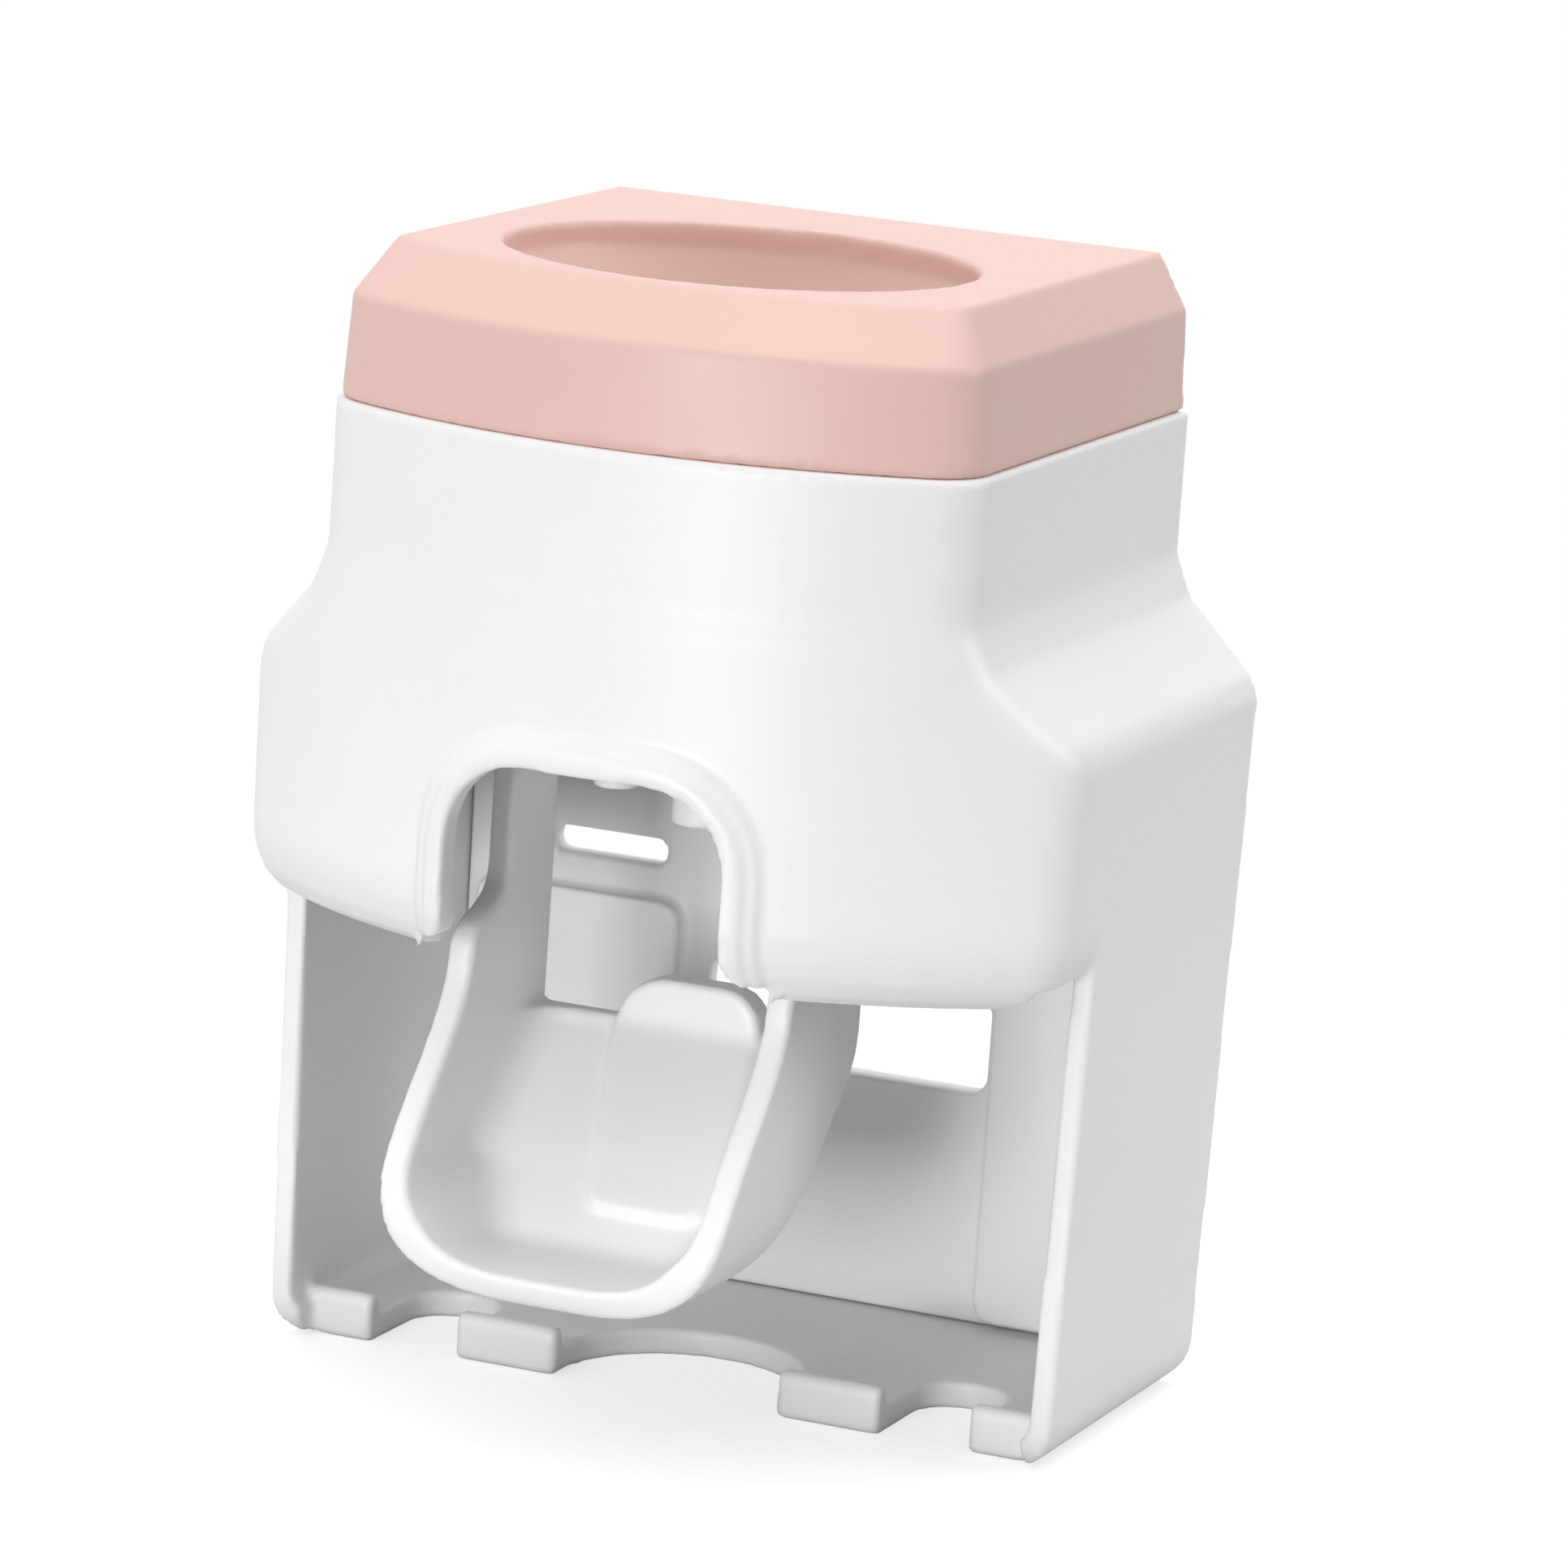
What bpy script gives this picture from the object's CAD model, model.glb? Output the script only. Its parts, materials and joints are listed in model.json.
"""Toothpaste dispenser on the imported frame: housing, pink tube cover, scoop lever and pump."""

import json
import math

import bpy
from bpy.props import FloatProperty, FloatVectorProperty, IntProperty, PointerProperty
from mathutils import Matrix, Vector

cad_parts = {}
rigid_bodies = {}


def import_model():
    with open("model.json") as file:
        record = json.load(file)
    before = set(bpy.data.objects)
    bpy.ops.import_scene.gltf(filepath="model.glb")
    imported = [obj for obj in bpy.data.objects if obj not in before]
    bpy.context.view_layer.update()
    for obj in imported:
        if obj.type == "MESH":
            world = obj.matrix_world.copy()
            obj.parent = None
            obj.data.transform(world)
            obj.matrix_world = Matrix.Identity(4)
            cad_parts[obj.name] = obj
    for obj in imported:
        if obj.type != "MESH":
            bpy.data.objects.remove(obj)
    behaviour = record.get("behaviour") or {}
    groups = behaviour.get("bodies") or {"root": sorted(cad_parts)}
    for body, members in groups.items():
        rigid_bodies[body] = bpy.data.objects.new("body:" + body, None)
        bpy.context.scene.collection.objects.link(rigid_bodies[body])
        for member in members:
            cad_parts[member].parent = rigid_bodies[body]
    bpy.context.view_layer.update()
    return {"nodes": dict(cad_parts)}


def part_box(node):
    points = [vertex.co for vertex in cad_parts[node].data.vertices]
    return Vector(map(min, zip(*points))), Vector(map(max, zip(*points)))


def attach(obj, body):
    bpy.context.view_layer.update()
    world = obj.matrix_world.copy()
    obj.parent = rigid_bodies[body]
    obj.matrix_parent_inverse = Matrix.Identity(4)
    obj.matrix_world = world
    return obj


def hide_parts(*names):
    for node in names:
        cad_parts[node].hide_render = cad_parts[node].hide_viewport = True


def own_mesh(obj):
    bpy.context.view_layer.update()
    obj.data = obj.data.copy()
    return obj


bl_info = {
    "name": "Toothpaste dispenser",
    "version": (1, 0, 0),
    "blender": (4, 5, 0),
    "location": "View3D > Sidebar > Dispenser",
    "description": "Builds the look of the toothpaste dispenser and its studio",
    "category": "Object",
}

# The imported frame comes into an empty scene, before the settings and the pieces
for thing in list(bpy.data.objects):
    bpy.data.objects.remove(thing)
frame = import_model()

# Moulded skins. Each smoothing pass moves a point by this share of the way to its neighbours.
EASE = 0.5
BACK_PASSES = 2
COVER_EXTRA_PASSES = 1
LEVER_EXTRA_PASSES = 2
PUMP_PASSES = 2
PUMP_GRID = 0.6  # grid of the nozzle and the plunger, as a share of the housing's

# Zone of the housing with wide roundings, in metres: above its foot, below the top rim,
# outside the flat front and in front of the back wall's joint
SHOULDER_FOOT = 0.056
SHOULDER_BELOW_RIM = 0.0045
FLAT_FRONT_HALF = 0.026
BACK_JOINT = 0.03

# Colours of the inner pieces
SILICONE_GREY = (0.80, 0.82, 0.80)
STEEL_GREY = (0.62, 0.62, 0.64)
NYLON_CREAM = (0.80, 0.78, 0.70)

# Noise scales, in cells a metre, and bump heights, in metres
FLOW_MARKS, MOULD_GRAIN, MOULD_GRAIN_HEIGHT = 45.0, 2600.0, 0.000004
RUBBER_CLOUD, RUBBER_GRAIN, RUBBER_GRAIN_HEIGHT = 160.0, 1800.0, 0.00001
DRAWN_MARKS, DRAWN_MARKS_HEIGHT = 5200.0, 0.000006
FLOOR_CLOUD, FLOOR_GRAIN, FLOOR_GRAIN_HEIGHT = 6.0, 900.0, 0.00001
NOISE_BAND = (0.3, 0.7)  # where most of a noise's values lie

# Stage, in metres
CENTRE = (0.0, 0.0, 0.065)
BAYS = (0.0, 0.02, 0.045)
LAMPS = (
    # name, setting that holds its power, place, target, width
    ("key", "key", (-0.15, -1.05, 0.49), CENTRE, 0.3),
    ("low front", "low", (0.0, -1.3, 0.06), BAYS, 0.3),
    ("right", "right", (1.05, 0.3, 0.45), CENTRE, 0.5),
    ("above", "above", (0.0, 0.15, 1.15), CENTRE, 0.6),
)
CAMERA_TARGET = (0.00435, 0.0088, 0.0676)
SENSOR_WIDTH = 36  # millimetres
CAMERA_CLIP = (0.05, 20)
FLOOR_RINGS = (0.08, 0.14, 0.2, 0.26)
FLOOR_STEPS = 48
FLOOR_FADE = (0.09, 0.25)
FLOOR_GREY = (0.6, 0.6, 0.6)
FLOOR_LIFT = 0.6  # emission that the camera alone sees, which turns the floor white

# All-round light
SKY_WHITE = (0.985, 0.985, 1.0, 1)
SHADED_WAY = (0.8, -0.6, 0.0)  # towards the front right, where it is weaker
SHADED_BAND = (-0.2, 0.9)
RISE_BAND = (0.2, 0.95)
WHITE = (1, 1, 1, 1)


class DispenserLook(bpy.types.PropertyGroup):
    """Finish of the moulded pieces."""

    voxel: FloatProperty(
        name="Voxel",
        description="Grid size that the moulded skins are rebuilt at",
        default=0.0006,
        min=0.0003,
        unit="LENGTH",
        subtype="DISTANCE",
    )
    soften: IntProperty(
        name="Soften",
        description="Smoothing passes that round the moulded edges",
        default=4,
        min=0,
        max=20,
    )
    shoulder: IntProperty(
        name="Shoulder",
        description="Further passes that round the shoulders and front corners",
        default=24,
        min=0,
        max=60,
    )
    white: FloatVectorProperty(
        name="White",
        description="Colour of the white plastic",
        default=(0.93, 0.92, 0.93),
        min=0,
        max=1,
        subtype="COLOR",
    )
    pink: FloatVectorProperty(
        name="Pink",
        description="Colour of the pink plastic",
        default=(0.81, 0.55, 0.49),
        min=0,
        max=1,
        subtype="COLOR",
    )


class DispenserStage(bpy.types.PropertyGroup):
    """Camera and light of the photograph."""

    azimuth: FloatProperty(
        name="Azimuth",
        description="Camera's turn round the object",
        default=math.radians(21.93),
        unit="ROTATION",
        subtype="ANGLE",
    )
    elevation: FloatProperty(
        name="Elevation",
        description="Camera's height above the horizon",
        default=math.radians(11.49),
        unit="ROTATION",
        subtype="ANGLE",
    )
    roll: FloatProperty(
        name="Roll",
        description="Camera's roll about its own axis",
        default=math.radians(4.05),
        unit="ROTATION",
        subtype="ANGLE",
    )
    distance: FloatProperty(
        name="Distance",
        description="From the target to the camera",
        default=0.86041,
        unit="LENGTH",
        subtype="DISTANCE",
    )
    lens: FloatProperty(
        name="Lens",
        description="Focal length in millimetres on a 36 mm sensor",
        default=180.86,
    )
    world: FloatProperty(
        name="World light",
        description="Strength of the all-round light",
        default=0.33,
        min=0,
    )
    top: FloatProperty(
        name="World top",
        description="How much stronger the all-round light is straight above",
        default=4.5,
        min=0,
    )
    side: FloatProperty(
        name="World side",
        description="Share of the all-round light that comes from the front right",
        default=0.42,
        min=0,
        max=1,
    )
    key: FloatProperty(
        name="Key light",
        description="Power of the soft light high in front, in watts",
        default=0.8,
        min=0,
    )
    low: FloatProperty(
        name="Low light",
        description="Power of the soft light that reaches into the bays, in watts",
        default=7.4,
        min=0,
    )
    right: FloatProperty(
        name="Right light",
        description="Power of the soft light at the right, in watts",
        default=3.0,
        min=0,
    )
    above: FloatProperty(
        name="Top light",
        description="Power of the soft light overhead, in watts",
        default=2.4,
        min=0,
    )


def settings():
    """The scene's look and stage settings."""
    return bpy.context.scene.dispenser_look, bpy.context.scene.dispenser_stage


# Materials


def set_inputs(node, values):
    """Sets a node's named inputs to fixed values."""
    for name, value in values.items():
        node.inputs[name].default_value = value


def node_tree(name):
    """A new material's tree, its shader and its object coordinates."""
    material = bpy.data.materials.new(name)
    material.use_nodes = True
    tree = material.node_tree
    shader = tree.nodes["Principled BSDF"]
    place = tree.nodes.new("ShaderNodeTexCoord")
    return material, tree, shader, place.outputs["Object"]


def noise(tree, place, scale, detail=3.0):
    """A noise texture's value at this scale, per metre."""
    node = tree.nodes.new("ShaderNodeTexNoise")
    set_inputs(node, {"Scale": scale, "Detail": detail})
    tree.links.new(place, node.inputs["Vector"])
    return node.outputs["Fac"]


def mapped(tree, value, source, result, smooth=False):
    """The value mapped from the source range to the result range."""
    node = tree.nodes.new("ShaderNodeMapRange")
    if smooth:
        node.interpolation_type = "SMOOTHSTEP"
    set_inputs(node, {"From Min": source[0], "From Max": source[1]})
    set_inputs(node, {"To Min": result[0], "To Max": result[1]})
    tree.links.new(value, node.inputs["Value"])
    return node.outputs["Result"]


def spread(tree, value, low, high):
    """A noise's middle band mapped to low and high."""
    return mapped(tree, value, NOISE_BAND, (low, high))


def tint(tree, value, colour, change):
    """The colour, made a little darker where the value is low."""
    node = tree.nodes.new("ShaderNodeMix")
    node.data_type = "RGBA"
    set_inputs(node, {"A": (*[c * (1 - change) for c in colour], 1), "B": (*colour, 1)})
    tree.links.new(value, node.inputs["Factor"])
    return node.outputs["Result"]


def bump(tree, value, height):
    """A bump of that height, in metres."""
    node = tree.nodes.new("ShaderNodeBump")
    set_inputs(node, {"Distance": height, "Strength": 1.0})
    tree.links.new(value, node.inputs["Height"])
    return node.outputs["Normal"]


def sum_or_product(tree, operation, first, second, clamp=False):
    """Two values added or multiplied; the second may be a plain number."""
    node = tree.nodes.new("ShaderNodeMath")
    node.operation = operation
    node.use_clamp = clamp
    tree.links.new(first, node.inputs[0])
    if isinstance(second, float):
        node.inputs[1].default_value = second
    else:
        tree.links.new(second, node.inputs[1])
    return node.outputs[0]


def plastic(name, colour, rough=0.38, soft=0.06):
    """Satin moulded plastic: faint flow marks, a fine grain and a little depth."""
    material, tree, shader, place = node_tree(name)
    flow = noise(tree, place, FLOW_MARKS, 2.0)
    fine = noise(tree, place, MOULD_GRAIN, 2.0)
    marked = tint(tree, spread(tree, flow, 0, 1), colour, 0.02)
    tree.links.new(marked, shader.inputs["Base Color"])
    tree.links.new(spread(tree, flow, rough - 0.04, rough + 0.05), shader.inputs["Roughness"])
    tree.links.new(bump(tree, fine, MOULD_GRAIN_HEIGHT), shader.inputs["Normal"])
    set_inputs(shader, {"IOR": 1.46, "Subsurface Weight": soft})
    set_inputs(shader, {"Subsurface Radius": (1.0, 0.8, 0.75), "Subsurface Scale": 0.0012})
    return material


def white_plastic():
    """The white plastic, made once and shared by every white piece."""
    name = "white plastic"
    return bpy.data.materials.get(name) or plastic(name, settings()[0].white)


def silicone(name, colour):
    """Soft translucent rubber with a dull, slightly uneven skin."""
    material, tree, shader, place = node_tree(name)
    cloud = noise(tree, place, RUBBER_CLOUD)
    fine = noise(tree, place, RUBBER_GRAIN)
    clouded = tint(tree, spread(tree, cloud, 0, 1), colour, 0.08)
    tree.links.new(clouded, shader.inputs["Base Color"])
    tree.links.new(spread(tree, cloud, 0.42, 0.6), shader.inputs["Roughness"])
    tree.links.new(bump(tree, fine, RUBBER_GRAIN_HEIGHT), shader.inputs["Normal"])
    set_inputs(shader, {"Transmission Weight": 0.25})
    set_inputs(shader, {"Subsurface Weight": 0.3, "Subsurface Scale": 0.002})
    return material


def steel(name, colour):
    """Bright drawn steel with fine marks along one way."""
    material, tree, shader, place = node_tree(name)
    stretch = tree.nodes.new("ShaderNodeMapping")
    set_inputs(stretch, {"Scale": (1.0, 0.12, 1.0)})
    tree.links.new(place, stretch.inputs["Vector"])
    marks = noise(tree, stretch.outputs["Vector"], DRAWN_MARKS, 4.0)
    marked = tint(tree, spread(tree, marks, 0, 1), colour, 0.12)
    tree.links.new(marked, shader.inputs["Base Color"])
    tree.links.new(spread(tree, marks, 0.22, 0.38), shader.inputs["Roughness"])
    tree.links.new(bump(tree, marks, DRAWN_MARKS_HEIGHT), shader.inputs["Normal"])
    set_inputs(shader, {"Metallic": 1.0})
    return material


# Pieces


def copy_of(name, node):
    """A new object with a copy of a CAD node's mesh and no materials."""
    piece = bpy.data.objects.new(name, frame["nodes"][node].data.copy())
    bpy.context.scene.collection.objects.link(piece)
    piece.data.materials.clear()
    return piece


def smoothing(skin, name, passes):
    """A smoothing modifier on the skin."""
    ease = skin.modifiers.new(name, "SMOOTH")
    ease.factor = EASE
    ease.iterations = passes
    return ease


def apply_modifiers(skin):
    """Puts the result of the skin's modifiers into its mesh."""
    bpy.context.view_layer.update()
    depsgraph = bpy.context.evaluated_depsgraph_get()
    mesh = bpy.data.meshes.new_from_object(skin.evaluated_get(depsgraph))
    skin.modifiers.clear()
    skin.data = mesh
    mesh.shade_smooth()


def soft_zone(skin, inside, passes):
    """Eases the skin further where inside(x, y, z) holds, for wide roundings."""
    zone = skin.vertex_groups.new(name="soft zone")
    zone.add([v.index for v in skin.data.vertices if inside(*v.co)], 1.0, "REPLACE")
    smoothing(skin, "wide ease", passes).vertex_group = zone.name
    apply_modifiers(skin)
    skin.vertex_groups.clear()


def moulded(name, node, body, material, voxel, passes):
    """A soft-edged skin over one CAD node: rebuilt on a fine grid, then eased at its edges."""
    skin = copy_of(name, node)
    grid = skin.modifiers.new("grid", "REMESH")
    grid.mode = "VOXEL"
    grid.voxel_size = voxel
    grid.use_smooth_shade = True
    smoothing(skin, "ease", passes)
    hold = skin.modifiers.new("hold", "SHRINKWRAP")
    hold.target = frame["nodes"][node]
    hold.wrap_method = "NEAREST_SURFACEPOINT"
    smoothing(skin, "finish", max(1, passes // 2))
    apply_modifiers(skin)
    skin.data.materials.clear()
    skin.data.materials.append(material)
    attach(skin, body)
    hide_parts(node)
    return skin


def pressed(name, node, material):
    """A copy of one CAD node that gives way when the plunger moves back, held at its rear end."""
    piece = copy_of(name, node)
    piece.data.materials.append(material)
    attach(piece, "housing")
    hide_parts(node)
    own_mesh(piece)


def finish_nodes(names, material):
    """Gives CAD nodes that stay shown their material."""
    for name in names:
        thing = frame["nodes"][name]
        for place in thing.material_slots:
            place.link = "OBJECT"
            place.material = material


class DISPENSER_OT_housing(bpy.types.Operator):
    """White housing: front cover, shoulders, side walls, floor and hooks"""

    bl_idname = "dispenser.housing"
    bl_label = "Housing"

    def execute(self, context):
        look, _ = settings()
        white = white_plastic()
        housing = moulded(
            "housing", "housing_shell", "housing", white, look.voxel, look.soften
        )
        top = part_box("housing_shell")[1][2] - SHOULDER_BELOW_RIM

        def on_shoulder(x, y, z):
            return SHOULDER_FOOT < z < top and abs(x) > FLAT_FRONT_HALF and y < BACK_JOINT

        soft_zone(housing, on_shoulder, look.shoulder)
        return {"FINISHED"}


class DISPENSER_OT_back(bpy.types.Operator):
    """Back wall with its window and hanging slots"""

    bl_idname = "dispenser.back"
    bl_label = "Back wall"

    def execute(self, context):
        look, _ = settings()
        white = white_plastic()
        moulded(
            "back_wall", "back_panel", "housing", white, look.voxel, BACK_PASSES
        )
        return {"FINISHED"}


class DISPENSER_OT_tube_cover(bpy.types.Operator):
    """Pink tube cover with its oval well"""

    bl_idname = "dispenser.tube_cover"
    bl_label = "Tube cover"

    def execute(self, context):
        look, _ = settings()
        pink = plastic("pink plastic", look.pink, rough=0.42)
        passes = look.soften + COVER_EXTRA_PASSES
        moulded("tube_cover", "top_cover", "top_cover", pink, look.voxel, passes)
        return {"FINISHED"}


class DISPENSER_OT_lever(bpy.types.Operator):
    """Scoop lever with its side arms and tongue"""

    bl_idname = "dispenser.lever"
    bl_label = "Lever"

    def execute(self, context):
        look, _ = settings()
        white = white_plastic()
        passes = look.soften + LEVER_EXTRA_PASSES
        moulded("scoop_lever", "lever", "lever", white, look.voxel, passes)
        return {"FINISHED"}


class DISPENSER_OT_pump(bpy.types.Operator):
    """Pump: frame, lid, nozzle, plunger and the soft pieces"""

    bl_idname = "dispenser.pump"
    bl_label = "Pump"

    def execute(self, context):
        look, _ = settings()
        white = white_plastic()
        fine = look.voxel * PUMP_GRID
        moulded("nozzle_tip", "nozzle", "housing", white, fine, PUMP_PASSES)
        moulded("plunger_dome", "plunger", "plunger", white, fine, PUMP_PASSES)
        finish_nodes(["pump_frame", "pump_lid", "plunger_guide"], white)
        soft = silicone("soft silicone", SILICONE_GREY)
        finish_nodes(["tube_socket", "inlet_valve", "outlet_valve"], soft)
        pressed("squeeze_bulb", "pump_bulb", soft)
        return {"FINISHED"}


class DISPENSER_OT_fixings(bpy.types.Operator):
    """Screws, spring, pivot pins and bushes"""

    bl_idname = "dispenser.fixings"
    bl_label = "Fixings"

    def execute(self, context):
        bright = steel("bright steel", STEEL_GREY)
        screws = ["back_screws", "frame_screws", "lid_screws", "nozzle_screws", "guide_screws"]
        finish_nodes(screws + ["pivot_pins"], bright)
        pressed("return_spring", "plunger_spring", bright)
        nylon = plastic("nylon", NYLON_CREAM, rough=0.5, soft=0.1)
        finish_nodes(["pivot_bushes"], nylon)
        return {"FINISHED"}


# Stage


def area_light(name, place, target, size, power):
    """A square soft light at place that faces target."""
    data = bpy.data.lights.new(name, "AREA")
    data.shape = "SQUARE"
    data.size = size
    data.energy = power
    lamp = bpy.data.objects.new(name, data)
    lamp.location = place
    lamp.rotation_euler = (Vector(target) - Vector(place)).to_track_quat("-Z", "Y").to_euler()
    bpy.context.scene.collection.objects.link(lamp)


def studio_world(strength, side, top):
    """Soft all-round light, weaker from the front right; seen directly it is white."""
    world = bpy.data.worlds.new("studio")
    bpy.context.scene.world = world
    world.use_nodes = True
    tree = world.node_tree
    tree.nodes.clear()
    out = tree.nodes.new("ShaderNodeOutputWorld")
    mix = tree.nodes.new("ShaderNodeMixShader")
    soft = tree.nodes.new("ShaderNodeBackground")
    set_inputs(soft, {"Color": SKY_WHITE})
    way = tree.nodes.new("ShaderNodeTexCoord").outputs["Generated"]
    parts = tree.nodes.new("ShaderNodeSeparateXYZ")
    tree.links.new(way, parts.inputs[0])
    turned = tree.nodes.new("ShaderNodeVectorMath")
    turned.operation = "DOT_PRODUCT"
    turned.inputs[1].default_value = SHADED_WAY
    tree.links.new(way, turned.inputs[0])
    shade = (strength, strength * side)
    fall = mapped(tree, turned.outputs["Value"], SHADED_BAND, shade, smooth=True)
    rise = mapped(tree, parts.outputs["Z"], RISE_BAND, (1.0, top), smooth=True)
    tree.links.new(sum_or_product(tree, "MULTIPLY", fall, rise), soft.inputs["Strength"])
    seen = tree.nodes.new("ShaderNodeBackground")
    set_inputs(seen, {"Color": WHITE})
    ray = tree.nodes.new("ShaderNodeLightPath").outputs
    seen_or_glossy = sum_or_product(tree, "ADD", ray["Is Camera Ray"], ray["Is Glossy Ray"])
    direct = sum_or_product(tree, "ADD", seen_or_glossy, ray["Is Transmission Ray"], clamp=True)
    tree.links.new(direct, mix.inputs["Fac"])
    tree.links.new(soft.outputs[0], mix.inputs[1])
    tree.links.new(seen.outputs[0], mix.inputs[2])
    tree.links.new(mix.outputs[0], out.inputs["Surface"])


def floor_mesh():
    """A flat round sheet of rings."""
    verts = [(0.0, 0.0, 0.0)]
    for radius in FLOOR_RINGS:
        for i in range(FLOOR_STEPS):
            angle = 2 * math.pi * i / FLOOR_STEPS
            verts.append((radius * math.cos(angle), radius * math.sin(angle), 0.0))
    faces = [(0, 1 + i, 1 + (i + 1) % FLOOR_STEPS) for i in range(FLOOR_STEPS)]
    for ring in range(len(FLOOR_RINGS) - 1):
        a, b = 1 + ring * FLOOR_STEPS, 1 + (ring + 1) * FLOOR_STEPS
        for i in range(FLOOR_STEPS):
            j = (i + 1) % FLOOR_STEPS
            faces.append((a + i, b + i, b + j, a + j))
    mesh = bpy.data.meshes.new("floor")
    mesh.from_pydata(verts, [], faces)
    mesh.shade_smooth()
    return mesh


def studio_floor():
    """Pale round floor that keeps the shadow and fades into the white round its edge."""
    mesh = floor_mesh()
    floor = bpy.data.objects.new("floor", mesh)
    bpy.context.scene.collection.objects.link(floor)
    material, tree, shader, place = node_tree("pale floor")
    cloud = noise(tree, place, FLOOR_CLOUD)
    tree.links.new(tint(tree, cloud, FLOOR_GREY, 0.01), shader.inputs["Base Color"])
    tree.links.new(spread(tree, cloud, 0.85, 0.95), shader.inputs["Roughness"])
    grain = noise(tree, place, FLOOR_GRAIN)
    tree.links.new(bump(tree, grain, FLOOR_GRAIN_HEIGHT), shader.inputs["Normal"])
    set_inputs(shader, {"Specular IOR Level": 0.1, "Emission Color": WHITE})
    seen = tree.nodes.new("ShaderNodeLightPath").outputs["Is Camera Ray"]
    lift = sum_or_product(tree, "MULTIPLY", seen, FLOOR_LIFT)
    tree.links.new(lift, shader.inputs["Emission Strength"])
    reach = tree.nodes.new("ShaderNodeVectorMath")
    reach.operation = "LENGTH"
    tree.links.new(place, reach.inputs[0])
    fade = mapped(tree, reach.outputs["Value"], FLOOR_FADE, (1.0, 0.0), smooth=True)
    tree.links.new(fade, shader.inputs["Alpha"])
    mesh.materials.append(material)


def photo_camera(stage):
    """The camera at the photograph's angle, distance and roll."""
    az, el = stage.azimuth, stage.elevation
    back = Vector((math.sin(az) * math.cos(el), -math.cos(az) * math.cos(el), math.sin(el)))
    right = Vector((math.cos(az), math.sin(az), 0.0))
    up = back.cross(right)
    c, s = math.cos(stage.roll), math.sin(stage.roll)
    across, above = right * c + up * s, up * c - right * s
    data = bpy.data.cameras.new("camera")
    data.lens = stage.lens
    data.sensor_width = SENSOR_WIDTH
    data.clip_start, data.clip_end = CAMERA_CLIP
    camera = bpy.data.objects.new("camera", data)
    turn = Matrix((across, above, back)).transposed().to_4x4()
    place = Vector(CAMERA_TARGET) + back * stage.distance
    camera.matrix_world = Matrix.Translation(place) @ turn
    bpy.context.scene.collection.objects.link(camera)
    bpy.context.scene.camera = camera


class DISPENSER_OT_stage(bpy.types.Operator):
    """Floor, lights, white surroundings and the photograph's camera"""

    bl_idname = "dispenser.stage"
    bl_label = "Stage"

    def execute(self, context):
        _, stage = settings()
        studio_floor()
        studio_world(stage.world, stage.side, stage.top)
        for name, setting, place, target, width in LAMPS:
            area_light(name, place, target, width, getattr(stage, setting))
        photo_camera(stage)
        context.scene.view_settings.view_transform = "Standard"
        return {"FINISHED"}


class DISPENSER_PT_panel(bpy.types.Panel):
    """Buttons that build the dispenser piece by piece"""

    bl_idname = "DISPENSER_PT_panel"
    bl_label = "Dispenser"
    bl_space_type = "VIEW_3D"
    bl_region_type = "UI"
    bl_category = "Dispenser"

    def draw(self, context):
        look, stage = settings()
        for name in ("voxel", "soften", "shoulder", "white", "pink"):
            self.layout.prop(look, name)
        for name in ("azimuth", "elevation", "roll", "distance", "lens"):
            self.layout.prop(stage, name)
        for name in ("world", "top", "side", "key", "low", "right", "above"):
            self.layout.prop(stage, name)
        for operator in OPERATORS:
            self.layout.operator(operator.bl_idname)


OPERATORS = (
    DISPENSER_OT_housing,
    DISPENSER_OT_back,
    DISPENSER_OT_tube_cover,
    DISPENSER_OT_lever,
    DISPENSER_OT_pump,
    DISPENSER_OT_fixings,
    DISPENSER_OT_stage,
)

CLASSES = (DispenserLook, DispenserStage, *OPERATORS, DISPENSER_PT_panel)


def register():
    """Adds the classes and their settings to Blender."""
    for item in CLASSES:
        bpy.utils.register_class(item)
    bpy.types.Scene.dispenser_look = PointerProperty(type=DispenserLook)
    bpy.types.Scene.dispenser_stage = PointerProperty(type=DispenserStage)


def unregister():
    """Takes the classes and their settings out again."""
    del bpy.types.Scene.dispenser_stage
    del bpy.types.Scene.dispenser_look
    for item in reversed(CLASSES):
        bpy.utils.unregister_class(item)


def run(operator):
    """Calls an operator and stops the script if it didn't finish."""
    group, name = operator.bl_idname.split(".")
    if getattr(getattr(bpy.ops, group), name)() != {"FINISHED"}:
        raise RuntimeError(operator.bl_label + " didn't finish")


def main():
    """Builds the whole scene on the frame."""
    register()
    for operator in OPERATORS:
        run(operator)


if __name__ == "__main__":
    main()
